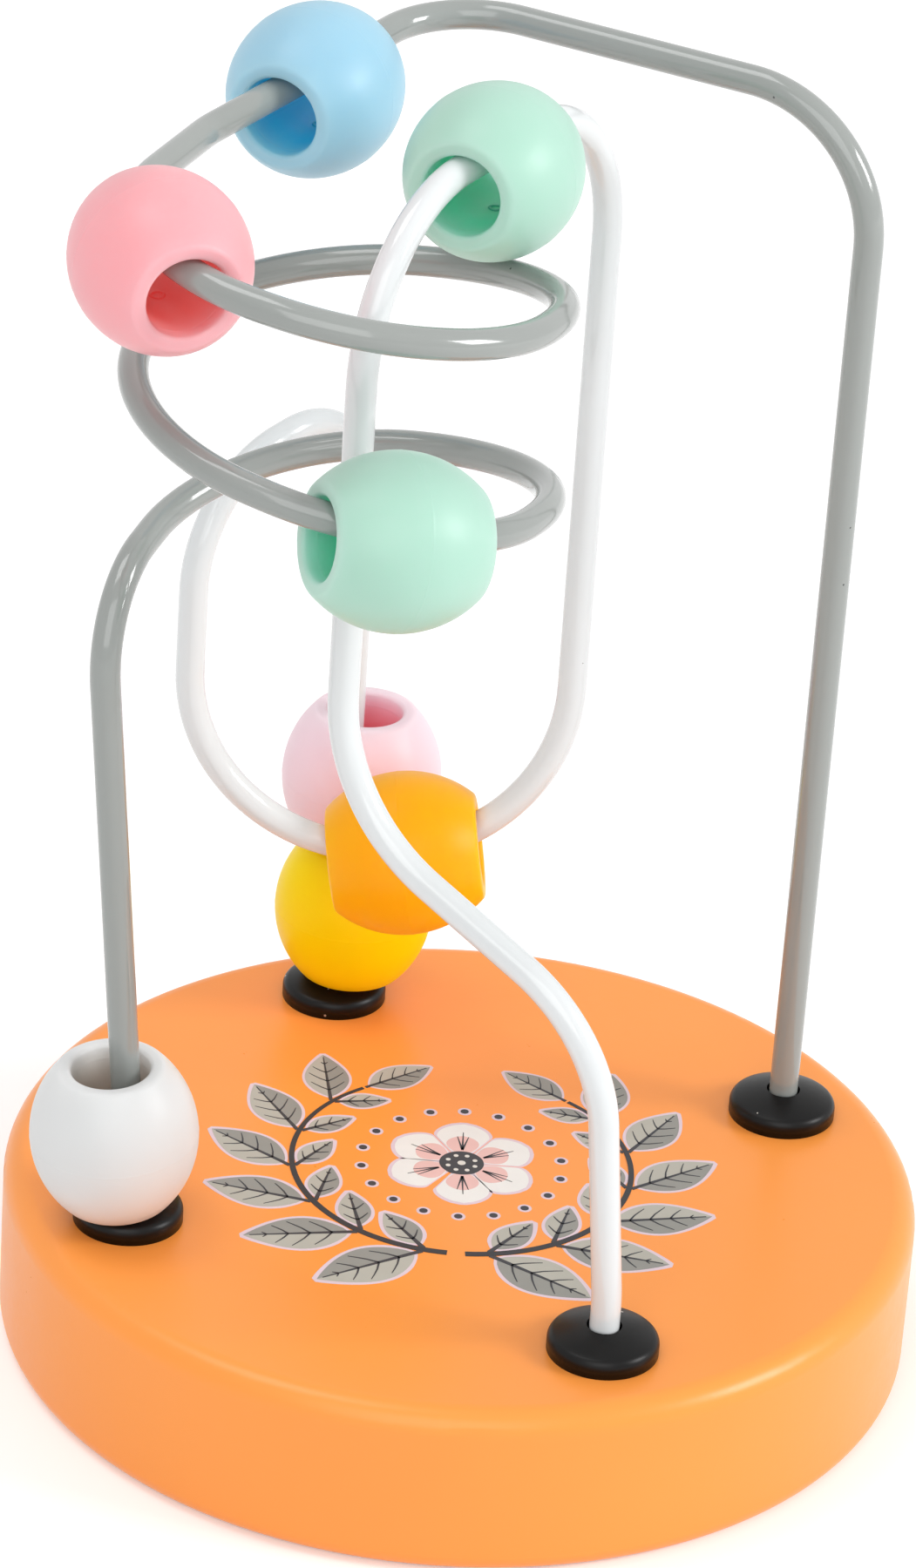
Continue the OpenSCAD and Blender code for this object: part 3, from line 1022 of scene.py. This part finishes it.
@dataclass
class Beads:
    """Eight barrel beads of one moulding in seven colours."""

    bead_d: float = 19.8
    bead_l: float = 18.2
    bead_bore: float = 9.3
    bead_end_d: float = 12.4
    bead_edge: float = 0.9
    bead_mouth: float = 0.5
    # Parting line round the middle
    seam_h: float = 0.025
    seam_w: float = 0.14
    # Share of the painted bore tint at the mouth, and the depth from which it is full
    painted_tint_at_mouth: float = 0.25
    painted_tint_full_at: float = 4.5
    # Fine ridge inside the mouth
    ridge_at: float = 1.3
    ridge_h: float = 0.05
    ridge_w: float = 0.16
    # Ring that the mould's gate leaves in the bore
    gate_d: float = 1.5
    gate_bead: float = 0.17
    gate_turn: float = -3.0
    gate_at: float = 0.8
    # Points of the mesh
    sides: int = 120
    seam_points: int = 10
    seam_points_a_width: int = 4
    barrel_steps: int = 24
    least_step: float = 0.1
    edge_steps: int = 12
    mouth_steps: int = 8
    ridge_steps: int = 4
    bore_depths: tuple[float, ...] = (0.5, 2.5, 3.2, 4.0, 5.0, 6.0, 7.0, 8.0)
    gate_steps: int = 24
    gate_sides: int = 8
    # Side to which the upper end of each bead points
    upper_way: Triple = (0.55, 0.75, 0.35)
    # Tilt, as a sine, under which a bead counts as upright
    upright: float = 0.2
    plans: tuple[BeadPlan, ...] = (
        BeadPlan("white_bead", BeadColour.WHITE),
        BeadPlan("lower_mint_bead", BeadColour.MINT),
        BeadPlan("upper_pink_bead", BeadColour.PINK),
        BeadPlan("blue_bead", BeadColour.BLUE),
        BeadPlan("upper_mint_bead", BeadColour.MINT),
        BeadPlan("orange_bead", BeadColour.ORANGE),
        BeadPlan("yellow_bead", BeadColour.YELLOW),
        BeadPlan("rear_pink_bead", BeadColour.PALE_PINK),
    )

    def outer_profile(self) -> list[Triple]:
        """Gives a bead's section from the seam over the barrel to the flat of its end.

        Returns:
            Radius, height and share of the painted bore tint at each point.
        """
        bulge = (self.bead_d - self.bead_end_d) / 2
        barrel_r = (self.bead_l**2 / 4 + bulge**2) / (2 * bulge)
        barrel_x = self.bead_d / 2 - barrel_r
        edge_z = self.bead_l / 2 - self.bead_edge
        edge_x = barrel_x + math.sqrt((barrel_r - self.bead_edge) ** 2 - edge_z**2)
        turn = math.atan2(edge_z, edge_x - barrel_x)
        seam = [self.seam_w * k / self.seam_points_a_width for k in range(self.seam_points)]
        steps = range(1, self.barrel_steps + 1)
        barrel = [k / self.barrel_steps * barrel_r * math.sin(turn) for k in steps]
        points = []
        for z in seam + [z for z in barrel if z > seam[-1] + self.least_step]:
            rise = self.seam_h * math.exp(-((z / self.seam_w) ** 2))
            points.append((barrel_x + math.sqrt(barrel_r**2 - z**2) + rise, z, 0.0))
        for k in range(1, self.edge_steps + 1):
            a = turn + (math.pi / 2 - turn) * k / self.edge_steps
            x = edge_x + self.bead_edge * math.cos(a)
            points.append((x, edge_z + self.bead_edge * math.sin(a), 0.0))
        return points

    def bore_profile(self) -> list[Triple]:
        """Gives a bead's section from the rounded mouth down to the middle of the bore.

        Returns:
            Radius, height and share of the bore's colour at each point.
        """
        mouth_z = self.bead_l / 2 - self.bead_mouth
        bore_r = self.bead_bore / 2
        points = []
        for k in range(self.mouth_steps + 1):
            a = math.pi / 2 * (1 + k / self.mouth_steps)
            x = bore_r + self.bead_mouth * (1 + math.cos(a))
            share = self.painted_tint_at_mouth * k / self.mouth_steps
            points.append((x, mouth_z + self.bead_mouth * math.sin(a), share))
        steps = range(-self.ridge_steps, self.ridge_steps + 1)
        ridge = [self.ridge_at + self.ridge_w * k / 2 for k in steps]
        for depth in sorted([*self.bore_depths, *ridge]):
            share = self.painted_tint_at_mouth + (1.0 - self.painted_tint_at_mouth) * min(1.0, depth / self.painted_tint_full_at)
            rise = self.ridge_h * math.exp(-(((depth - self.ridge_at) / self.ridge_w) ** 2))
            points.append((bore_r - rise, mouth_z - depth, share))
        points.append((bore_r - self.seam_h, 0.0, 1.0))
        return points

    @staticmethod
    def add_rows(
        shape: Shape, rows: list[list[Vector]], masks: list[list[float]]
    ) -> None:
        """Adds a closed skin over rows of points that each close, as the rows do together.

        Args:
            shape: The bead's mesh.
            rows: Places of the points in millimetres.
            masks: Share of the painted bore tint at the points.
        """
        layer = shape.verts.layers.float[PAINTED_BORE_MASK]
        verts = []
        for row, shares in zip(rows, masks):
            made = [shape.verts.new(spot * MM) for spot in row]
            for vert, share in zip(made, shares):
                vert[layer] = share
            verts.append(made)
        for i, row in enumerate(verts):
            following = verts[(i + 1) % len(verts)]
            for j in range(len(row)):
                k = (j + 1) % len(row)
                shape.faces.new((row[j], following[j], following[k], row[k]))

    @staticmethod
    def round_spot(r: float, a: float, z: float) -> Vector:
        """Gives a place from its distance to the axis, its angle and its height."""
        return Vector((r * math.cos(a), r * math.sin(a), z))

    def moulding(self) -> Mesh:
        """Turns the section into a bead round the origin, with its mould marks.

        Returns:
            The mesh.
        """
        upper = self.outer_profile() + self.bore_profile()
        section = upper + [(r, -z, share) for r, z, share in reversed(upper[1:-1])]
        shape = bmesh.new()
        shape.verts.layers.float.new(PAINTED_BORE_MASK)
        angles = [2 * math.pi * i / self.sides for i in range(self.sides)]
        rows = [[self.round_spot(r, a, z) for r, z, _ in section] for a in angles]
        self.add_rows(shape, rows, [[share for _, _, share in section]] * self.sides)
        # The gate's ring takes the full painted bore tint
        rows = self.gate_mark()
        self.add_rows(shape, rows, [[1.0] * self.gate_sides] * self.gate_steps)
        bmesh.ops.recalc_face_normals(shape, faces=shape.faces)
        mesh = mesh_of(shape, "bead_moulding")
        smooth_by_angle(mesh, MADE_SHARP)
        return mesh

    def gate_mark(self) -> list[list[Vector]]:
        """Gives the small ring that the mould's gate leaves in the bore, as rows of points.

        Returns:
            The rows, in millimetres.
        """
        turn = math.radians(self.gate_turn)
        bore_r = self.bead_bore / 2
        rows = []
        for i in range(self.gate_steps):
            a = 2 * math.pi * i / self.gate_steps
            row = []
            for j in range(self.gate_sides):
                b = 2 * math.pi * j / self.gate_sides
                out = self.gate_d / 2 + self.gate_bead * math.cos(b)
                around = turn + out * math.cos(a) / bore_r
                r = bore_r - self.gate_bead * math.sin(b)
                row.append(self.round_spot(r, around, self.gate_at + out * math.sin(a)))
            rows.append(row)
        return rows

    def place_of(self, node: str) -> Matrix:
        """Finds where a bead's solid is and which way its bore points.

        Args:
            node: Name of the solid.

        Returns:
            The matrix that takes the moulding there.
        """
        mesh = frame["nodes"][node].data
        low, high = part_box(node)
        areas = np.array([face.area for face in mesh.polygons])
        normals = np.array([face.normal for face in mesh.polygons])
        spread = (normals * areas[:, None]).T @ normals
        axis = Vector(np.linalg.eigh(spread)[1][:, 0]).normalized()
        if axis.dot(Vector(self.upper_way)) < 0:
            axis.negate()
        down = Vector((0, 0, -1))
        across = down - axis * axis.dot(down)
        if across.length < self.upright:
            across = Vector((1, 0, 0)) - axis * axis.x
        x = across.normalized()
        turned_way = Matrix((x, axis.cross(x), axis)).transposed().to_4x4()
        return Matrix.Translation((low + high) / 2) @ turned_way

    def build(self) -> list[Piece]:
        """Builds the eight beads, each on its own body.

        Returns:
            The pieces.
        """
        moulding = self.moulding()
        materials = {colour: colour.value.material() for colour in BeadColour}
        pieces = []
        for plan in self.plans:
            mesh = moulding.copy()
            mesh.transform(self.place_of(plan.node))
            mesh.materials.append(materials[plan.colour])
            piece = add_object("moulded_" + plan.node, mesh)
            pieces.append(hand_over(piece, plan.node, plan.node))
        bpy.data.meshes.remove(moulding)
        return pieces


@dataclass
class BaseAssembly:
    """The painted base and the black collars at the wires' feet."""

    collars: tuple[str, ...] = ("left_collar", "front_collar", "right_collar", "back_collar")

    def build(self) -> list[Piece]:
        """Dresses the base and its collars.

        Returns:
            The pieces.
        """
        pieces = [dressed_copy("base", "painted_base", BASE_PAINT)]
        for collar in self.collars:
            name = "moulded_" + collar
            pieces.append(dressed_copy(collar, name, COLLAR_PLASTIC))
        return pieces


def turned(outline: Outline, degrees: float) -> Outline:
    """Turns an outline about the origin."""
    c, s = math.cos(math.radians(degrees)), math.sin(math.radians(degrees))
    return [(x * c - y * s, x * s + y * c) for x, y in outline]


def mirrored_over(lower: Outline) -> Outline:
    """Closes the lower half of an outline with its mirror image over X."""
    return lower + [(x, -y) for x, y in lower[::-1]]


def disc(x: float, radius: float, steps: int) -> Outline:
    """Gives a round outline whose middle lies on X."""
    angles = [2 * math.pi * k / steps for k in range(steps)]
    return [(x + radius * math.cos(a), radius * math.sin(a)) for a in angles]


def stroke(points: Outline, pen: Pair) -> Outline:
    """Gives the outline of a pen stroke.

    Args:
        points: Points along the stroke.
        pen: Width at its start and at its end.

    Returns:
        The outline.
    """
    left, right = [], []
    last = len(points) - 1
    for i, (x, y) in enumerate(points):
        before, after = points[max(i - 1, 0)], points[min(i + 1, last)]
        run = math.hypot(after[0] - before[0], after[1] - before[1])
        nx, ny = -(after[1] - before[1]) / run, (after[0] - before[0]) / run
        half = (pen[0] + (pen[1] - pen[0]) * i / last) / 2
        left.append((x + nx * half, y + ny * half))
        right.append((x - nx * half, y - ny * half))
    return right + left[::-1]


@dataclass(frozen=True)
class Leaf:
    """A pointed leaf that grows along X from the origin, in millimetres and in shares of it."""

    length: float = 13.0
    width: float = 7.0
    stalk: float = 1.5
    steps: int = 20
    # How far towards the foot the blade is widest, and how full it is
    widest: float = 0.85
    fullness: float = 0.9
    # Margin round the blade, and how fast it grows from the foot
    edge: float = 0.42
    edge_growth: float = 6.0
    # Midrib
    rib_start: float = 0.55
    rib_end: float = 0.94
    rib_points: tuple[float, ...] = (0.0, 0.25, 0.5, 0.75, 1.0)
    rib_pen: Pair = (0.62, 0.16)
    # Side veins
    veins: int = 4
    vein_first: float = 0.16
    vein_span: float = 0.62
    vein_ahead: float = 0.16
    vein_limit: float = 0.95
    vein_reach: float = 0.8
    vein_slant: float = 0.95
    vein_bow: float = 0.8
    vein_points: tuple[float, ...] = (0.0, 0.35, 0.7, 1.0)
    vein_pen: Pair = (0.26, 0.1)

    def side(self, share: float) -> float:
        """Gives the leaf's half width at a share of its length."""
        return self.width / 2 * math.sin(math.pi * share**self.widest) ** self.fullness

    def shares(self) -> list[float]:
        """Gives even steps along the blade."""
        return [k / self.steps for k in range(self.steps + 1)]

    def half(self, sign: int) -> Outline:
        """Gives one half of the blade, on one side of the midrib."""
        blade = [(self.stalk + self.length * t, sign * self.side(t)) for t in self.shares()]
        return blade if sign < 0 else blade[::-1]

    def border(self) -> Outline:
        """Gives the blade with a narrow margin round it.

        Returns:
            The outline.
        """
        start, reach = self.stalk - self.edge, self.length + 2 * self.edge
        lower = []
        for t in self.shares():
            margin = self.edge * min(1.0, self.edge_growth * t)
            lower.append((start + reach * t, -self.side(t) - margin))
        return mirrored_over(lower)

    def ribs(self) -> list[Outline]:
        """Gives the midrib and the curved side veins.

        Returns:
            The outlines of the strokes.
        """
        start, end = self.rib_start, self.stalk + self.length * self.rib_end
        rib = [(start + (end - start) * t, 0.0) for t in self.rib_points]
        strokes = [stroke(rib, self.rib_pen)]
        for k in range(self.veins):
            share = self.vein_first + self.vein_span * k / (self.veins - 1)
            foot = self.stalk + self.length * share
            reach = self.side(min(share + self.vein_ahead, self.vein_limit)) * self.vein_reach
            run = reach * self.vein_slant
            for sign in (-1, 1):
                bow = [(foot + run * t, sign * reach * t**self.vein_bow) for t in self.vein_points]
                strokes.append(stroke(bow, self.vein_pen))
        return strokes


@dataclass(frozen=True)
class Petal:
    """A broad petal that grows along X from near the origin, in millimetres."""

    start: float = 1.7
    length: float = 7.4
    width: float = 6.4
    steps: int = 22
    # How far towards the tip the petal is widest, and how full it is
    widest: float = 1.35
    fullness: float = 0.62
    # Slope of the line between two petals, and the gap to it
    wedge: float = math.tan(math.radians(30.0))
    gap: float = 0.25
    # Pen lines: where they start, the slope and the reach of each, and the pen
    lines_at: float = 1.3
    slopes: tuple[Pair, ...] = ((-0.22, 0.42), (0.0, 0.56), (0.22, 0.42))
    pen: Pair = (0.3, 0.1)

    def outline(self, share: float = 1.0, margin: float = 0.0) -> Outline:
        """Gives the petal at a share of its size, with a margin round it.

        Args:
            share: Share of the full size.
            margin: Width of the margin.

        Returns:
            The outline.
        """
        lower = []
        for k in range(self.steps + 1):
            t = k / self.steps
            x = self.start - margin + (self.length * share + 2 * margin) * t
            swell = math.sin(math.pi * t**self.widest) ** self.fullness
            half = self.width / 2 * share * swell + margin
            lower.append((x, -min(half, x * self.wedge - self.gap + margin / 2)))
        return mirrored_over(lower)

    def lines(self) -> list[Outline]:
        """Gives the short pen lines at the petal's foot.

        Returns:
            The outlines of the strokes.
        """
        foot = self.start + self.lines_at
        strokes = []
        for slope, share in self.slopes:
            reach = self.length * share
            strokes.append(stroke([(foot, 0.0), (foot + reach, reach * slope)], self.pen))
        return strokes


Motifs = dict[Ink, list[Outline]]


@dataclass(frozen=True)
class Row:
    """Motifs that are set at even steps along lines, with a turn and with a change of size."""

    motifs: Motifs
    lines: list[list[Vector]]
    count: int = 1
    turn: float = 0.0
    first_size: float = 1.0
    last_size: float = 1.0


@dataclass
class Print:
    """The print on the base: two leafy twigs round a flower, with one thin layer for each ink."""

    sunk: float = 0.01
    same_point: float = 0.0005
    steps: int = 48
    # Twigs, whose angles run from the foot to the tip
    ring_r: float = 20.5
    first_angle: float = -80.0
    last_angle: float = 52.0
    foot_run: float = 7.0
    bare_run: float = 15.0
    tip_run: float = 10.0
    stem_pen: Pair = (0.95, 0.5)
    pairs: int = 6
    leaf_turn: float = 44.0
    first_size: float = 1.02
    last_size: float = 0.78
    tip_size: float = 0.7
    leaf: Leaf = Leaf()
    inner_leaf: Leaf = Leaf(length=7.6, width=4.0, veins=3)
    # Ring of dots
    dots: int = 18
    dots_r: float = 12.2
    dot_r: float = 0.5
    dot_edge_r: float = 0.85
    dot_steps: int = 24
    # Flower, whose petals start just off the middle
    petals: int = 6
    bloom_r: float = 0.01
    petal: Petal = Petal()
    petal_margin: float = 0.4
    blush: float = 0.62
    eye_r: float = 2.7
    eye_steps: int = 40
    seeds: int = 8
    seeds_r: float = 1.75
    seed_r: float = 0.3
    seed_steps: int = 12
    pip_r: float = 0.5
    pip_steps: int = 16

    def spot(self, x: float, y: float) -> Vector:
        """Gives a place just under the base's top from its place in plan."""
        return Vector((x, y, BASE_H - self.sunk)) * MM

    def arc(self, radius: float, first: float, last: float, side: int = 1) -> list[Vector]:
        """Gives points along an arc round the base's middle, turned to face the viewer.

        Args:
            radius: Radius of the arc.
            first: Angle at its start in degrees.
            last: Angle at its end in degrees.
            side: 1 as it is, or -1 mirrored.

        Returns:
            The points.
        """
        points = []
        for k in range(self.steps + 1):
            a = math.radians(first + (last - first) * k / self.steps)
            points.append((radius * math.cos(a) * side, radius * math.sin(a)))
        return [self.spot(x, y) for x, y in turned(points, -VIEW_HEADING)]

    def ring(self, radius: float, count: int) -> list[Vector]:
        """Gives a ring from the side nearest to the viewer, open by one of a number of steps."""
        return self.arc(radius, -90.0, 270.0 - 360.0 / count)

    def twigs(self, first: float, last: float) -> list[list[Vector]]:
        """Gives the same part of both twigs, each from its foot to its tip."""
        return [self.arc(self.ring_r, first, last, side) for side in (1, -1)]

    @staticmethod
    def leaves(plan: list[tuple[Leaf, float]]) -> Motifs:
        """Gives leaves at their angles from a twig, by ink.

        Args:
            plan: The leaves with their angles in degrees.

        Returns:
            The outlines by ink.
        """
        return {
            Ink.EDGE: [turned(leaf.border(), a) for leaf, a in plan],
            Ink.MID: [turned(leaf.half(-1), a) for leaf, a in plan],
            Ink.PALE: [turned(leaf.half(1), a) for leaf, a in plan],
            Ink.CHARCOAL: [turned(rib, a) for leaf, a in plan for rib in leaf.ribs()],
        }

    def small_dot(self) -> Motifs:
        """Gives one dot of the ring round the flower, by ink.

        Returns:
            The outlines by ink.
        """
        return {
            Ink.EDGE: [disc(0.0, self.dot_edge_r, self.dot_steps)],
            Ink.CHARCOAL: [disc(0.0, self.dot_r, self.dot_steps)],
        }

    def flower_petal(self) -> Motifs:
        """Gives one petal of the flower, by ink.

        Returns:
            The outlines by ink.
        """
        return {
            Ink.EDGE: [self.petal.outline(margin=self.petal_margin)],
            Ink.WHITE: [self.petal.outline()],
            Ink.PINK: [self.petal.outline(share=self.blush)],
            Ink.CHARCOAL: self.petal.lines(),
        }

    def flower_eye(self) -> Motifs:
        """Gives the flower's dark eye with its ring of pale seeds, by ink.

        Returns:
            The outlines by ink.
        """
        seed = disc(self.seeds_r, self.seed_r, self.seed_steps)
        seeds = [turned(seed, 360.0 / self.seeds * k) for k in range(self.seeds)]
        return {
            Ink.CHARCOAL: [disc(0.0, self.eye_r, self.eye_steps)],
            Ink.DOT: [*seeds, disc(0.0, self.pip_r, self.pip_steps)],
        }

    def stems(self) -> Motifs:
        """Gives the stems of both twigs, by ink.

        Returns:
            The outlines by ink.
        """
        twigs = self.twigs(self.first_angle - self.foot_run, self.last_angle)
        plans = [[(spot.x / MM, spot.y / MM) for spot in twig] for twig in twigs]
        return {Ink.STEM: [stroke(plan, self.stem_pen) for plan in plans]}

    def rows(self) -> tuple[Row, ...]:
        """Lays out the motifs: leaves in pairs, leaves at the tips, flower, dots and stems.

        Returns:
            The rows of motifs.
        """
        outer, inner, turn = self.leaf, self.inner_leaf, self.leaf_turn
        right_pair = self.leaves([(outer, -turn), (inner, turn)])
        left_pair = self.leaves([(outer, turn), (inner, -turn)])
        right, left = self.twigs(self.first_angle, self.last_angle - self.bare_run)
        tips = self.twigs(self.last_angle, self.last_angle + self.tip_run)
        middle = [self.spot(0.0, 0.0), self.spot(0.0, 1.0)]
        bloom = self.ring(self.bloom_r, self.petals)
        dots = self.ring(self.dots_r, self.dots)
        quarter = math.pi / 2
        sizes = (self.first_size, self.last_size)
        return (
            Row(right_pair, [right], self.pairs, 0.0, *sizes),
            Row(left_pair, [left], self.pairs, 0.0, *sizes),
            Row(self.leaves([(outer, 0.0)]), tips, 1, 0.0, self.tip_size, self.tip_size),
            Row(self.flower_petal(), [bloom], self.petals, -quarter),
            Row(self.flower_eye(), [middle]),
            Row(self.small_dot(), [dots], self.dots),
            Row(self.stems(), [middle], turn=-quarter),
        )

    @staticmethod
    def tree() -> NodeGroup:
        """Builds the geometry tree that sets a motif at even steps along lines.

        Returns:
            The tree.
        """
        group = NodeGroup(
            "motifs_along_lines",
            "Geometry",
            {"Geometry": "Geometry", "Motif": "Object", "Count": "Int", "Turn": "Float",
             "First Size": "Float", "Last Size": "Float", "Material": "Material"},
            {"Geometry": "Geometry"},
        )
        graph, inputs = group.graph, group.inputs
        line = graph.add("GeometryNodeMeshToCurve", {"Mesh": inputs["Geometry"]})
        points = graph.add(
            "GeometryNodeCurveToPoints",
            {"Curve": line.outputs[0], "Count": inputs["Count"]},
            mode="COUNT",
        )
        way = graph.add("ShaderNodeSeparateXYZ", {"Vector": points.outputs["Tangent"]})
        heading = graph.math("ARCTAN2", way.outputs["Y"], way.outputs["X"])
        facing = graph.math("ADD", heading, inputs["Turn"])
        angle = graph.add("ShaderNodeCombineXYZ", {"Z": facing})
        index = graph.add("GeometryNodeInputIndex").outputs[0]
        step = graph.math("MODULO", index, inputs["Count"])
        steps = graph.math("MAXIMUM", graph.math("SUBTRACT", inputs["Count"], 1.0), 1.0)
        share = graph.math("DIVIDE", step, steps)
        change = graph.math("SUBTRACT", inputs["Last Size"], inputs["First Size"])
        size = graph.math("MULTIPLY_ADD", share, change, inputs["First Size"])
        scale = graph.add("ShaderNodeCombineXYZ", {"X": size, "Y": size, "Z": 1.0})
        motif = graph.add("GeometryNodeObjectInfo", {"Object": inputs["Motif"]})
        placed = graph.add(
            "GeometryNodeInstanceOnPoints",
            {"Points": points.outputs["Points"], "Instance": motif.outputs["Geometry"],
             "Rotation": angle.outputs[0], "Scale": scale.outputs[0]},
        )
        group.close_geometry(placed.outputs[0])
        return group

    def slab(self, outlines: list[Outline], height: float) -> Piece:
        """Makes a thin closed layer of ink that stands on the origin.

        Args:
            outlines: Outlines of its patches in millimetres.
            height: Height of the layer over the paint in millimetres.

        Returns:
            The object.
        """
        shape = bmesh.new()
        for outline in outlines:
            shape.faces.new([shape.verts.new((x * MM, y * MM, 0.0)) for x, y in outline])
        bmesh.ops.remove_doubles(shape, verts=shape.verts, dist=self.same_point * MM)
        bottom = list(shape.faces)
        raised = bmesh.ops.extrude_face_region(shape, geom=bottom, use_keep_orig=True)["geom"]
        verts = [part for part in raised if isinstance(part, bmesh.types.BMVert)]
        bmesh.ops.translate(shape, verts=verts, vec=(0.0, 0.0, (self.sunk + height) * MM))
        bmesh.ops.recalc_face_normals(shape, faces=shape.faces)
        return add_object("motif", mesh_of(shape, "motif"))

    def build(self) -> list[Piece]:
        """Prints all motifs and gathers one piece for each ink.

        Returns:
            The pieces.
        """
        tree = self.tree()
        materials = {ink: ink.finish().material() for ink in Ink}
        layers: dict[Ink, list[Mesh]] = {ink: [] for ink in Ink}
        for row in self.rows():
            for ink, outlines in row.motifs.items():
                motif = self.slab(outlines, ink.height())
                values = {"Motif": motif, "Count": row.count, "Turn": row.turn,
                          "First Size": row.first_size, "Last Size": row.last_size,
                          "Material": materials[ink]}
                layers[ink].append(grown(chains(row.lines, {}), tree, values))
                bpy.data.objects.remove(motif)
        return [self.gathered(ink, layers[ink], materials[ink]) for ink in Ink]

    @staticmethod
    def gathered(
        ink: Ink, meshes: list[Mesh], material: Material
    ) -> Piece:
        """Joins the patches of one ink in one piece.

        Args:
            ink: The ink.
            meshes: Its patches. They are removed.
            material: Its material.

        Returns:
            The piece.
        """
        shape = bmesh.new()
        for mesh in meshes:
            shape.from_mesh(mesh)
            bpy.data.meshes.remove(mesh)
        joined = mesh_of(shape, "print_" + ink.name.lower())
        joined.materials.clear()
        joined.materials.append(material)
        return hand_over(add_object(joined.name, joined), FRAME_BODY)


@dataclass(frozen=True)
class Lamp:
    """A square soft lamp: the way to it from the object, how far it is, its side and its power."""

    name: str
    way: Triple
    distance: float
    side: float
    power: float


@dataclass
class Studio:
    """A pale floor, soft lamps and the camera at the photograph's viewing angle."""

    floor_colour: Colour = (0.88, 0.88, 0.88, 1.0)
    floor_radius: float = 4.0
    floor_sides: int = 96
    floor_roughness: float = 0.9
    floor_glow: float = 0.26
    sky: float = 0.55
    aim: Triple = (0.0, 0.0, 0.07)
    lamps: tuple[Lamp, ...] = (
        Lamp("key", (0.74, -0.5, 0.44), 2.2, 0.8, 24.0),
        Lamp("top", (-0.3, 0.15, 0.93), 2.2, 1.0, 10.5),
        Lamp("front", (-0.4, -0.75, 0.53), 2.4, 1.8, 18.0),
    )
    # Camera, in millimetres and degrees
    camera_at: Triple = (-253.9, -558.0, 392.3)
    camera_drop: float = 27.52
    camera_roll: float = 3.982
    camera_lens: float = 136.17
    camera_sensor: float = 36.0
    # Nearest and farthest distance that the camera sees, in metres
    camera_clip: Pair = (0.05, 20.0)

    def build_floor(self) -> None:
        """Lays the floor, which glows a little to the camera so that it is white."""
        shape = bmesh.new()
        bmesh.ops.create_circle(
            shape, cap_ends=True, segments=self.floor_sides, radius=self.floor_radius
        )
        mesh = mesh_of(shape, "floor")
        material, graph = blank_material("floor")
        glow = graph.math("MULTIPLY", self.seen_rays(graph), self.floor_glow)
        shader = graph.add(
            "ShaderNodeBsdfPrincipled",
            {"Base Color": self.floor_colour, "Roughness": self.floor_roughness,
             "Specular IOR Level": 0.0, "Emission Color": WHITE, "Emission Strength": glow},
        )
        graph.add("ShaderNodeOutputMaterial", {"Surface": shader.outputs["BSDF"]})
        mesh.materials.append(material)
        add_object("floor", mesh)

    @staticmethod
    def seen_rays(graph: Graph) -> Socket:
        """Gives 1 for rays that show the surroundings to the camera, directly or in gloss.

        Args:
            graph: The nodes of the floor or the sky.

        Returns:
            The mask's socket.
        """
        rays = graph.add("ShaderNodeLightPath").outputs
        mirrored = graph.math("MAXIMUM", rays["Is Glossy Ray"], rays["Is Transmission Ray"])
        return graph.math("MAXIMUM", rays["Is Camera Ray"], mirrored)

    def build_sky(self) -> None:
        """Sets the even light from all round, and the white that shows past the floor."""
        world = bpy.data.worlds.new("studio")
        bpy.context.scene.world = world
        world.use_nodes = True
        graph = Graph(world.node_tree)
        seen = self.seen_rays(graph)
        strength = graph.math("MULTIPLY_ADD", seen, 1.0 - self.sky, self.sky)
        light = graph.add("ShaderNodeBackground", {"Color": WHITE, "Strength": strength})
        graph.add("ShaderNodeOutputWorld", {"Surface": light.outputs[0]})

    def build_lamps(self) -> None:
        """Hangs the soft lamps round the object."""
        aim = Vector(self.aim)
        for lamp in self.lamps:
            light = bpy.data.lights.new(lamp.name, "AREA")
            light.shape = "SQUARE"
            light.size = lamp.side
            light.energy = lamp.power
            holder = bpy.data.objects.new(lamp.name, light)
            way = Vector(lamp.way).normalized()
            holder.location = aim + way * lamp.distance
            holder.rotation_euler = way.to_track_quat("Z", "Y").to_euler()
            bpy.context.scene.collection.objects.link(holder)

    def build_camera(self) -> None:
        """Puts the camera where the photograph was taken from."""
        heading = math.radians(VIEW_HEADING)
        drop = math.radians(self.camera_drop)
        roll = math.radians(self.camera_roll)
        level = Vector((math.sin(heading), math.cos(heading), 0.0)) * math.cos(drop)
        ahead = level - Vector((0.0, 0.0, math.sin(drop)))
        right = Vector((math.cos(heading), -math.sin(heading), 0.0))
        up = right.cross(ahead)
        side = right * math.cos(roll) + up * math.sin(roll)
        top = up * math.cos(roll) - right * math.sin(roll)
        lens = bpy.data.cameras.new("camera")
        lens.lens = self.camera_lens
        lens.sensor_width = self.camera_sensor
        lens.clip_start, lens.clip_end = self.camera_clip
        camera = bpy.data.objects.new("camera", lens)
        turned_way = Matrix((side, top, -ahead)).transposed().to_4x4()
        camera.matrix_world = Matrix.Translation(Vector(self.camera_at) * MM) @ turned_way
        bpy.context.scene.collection.objects.link(camera)
        bpy.context.scene.camera = camera

    def build(self) -> None:
        """Sets up the whole studio."""
        bpy.context.scene.view_settings.view_transform = "Standard"
        self.build_camera()
        self.build_floor()
        self.build_sky()
        self.build_lamps()


def main() -> None:
    """Builds the sub-assemblies in order and reports each piece."""
    logging.basicConfig(level=logging.INFO, format="%(message)s")
    Studio().build()
    for assembly in (BaseAssembly(), Print(), Wires(), Beads()):
        for piece in assembly.build():
            LOG.info("%s: %d faces", piece.name, len(piece.data.polygons))


if __name__ == "__main__":
    main()
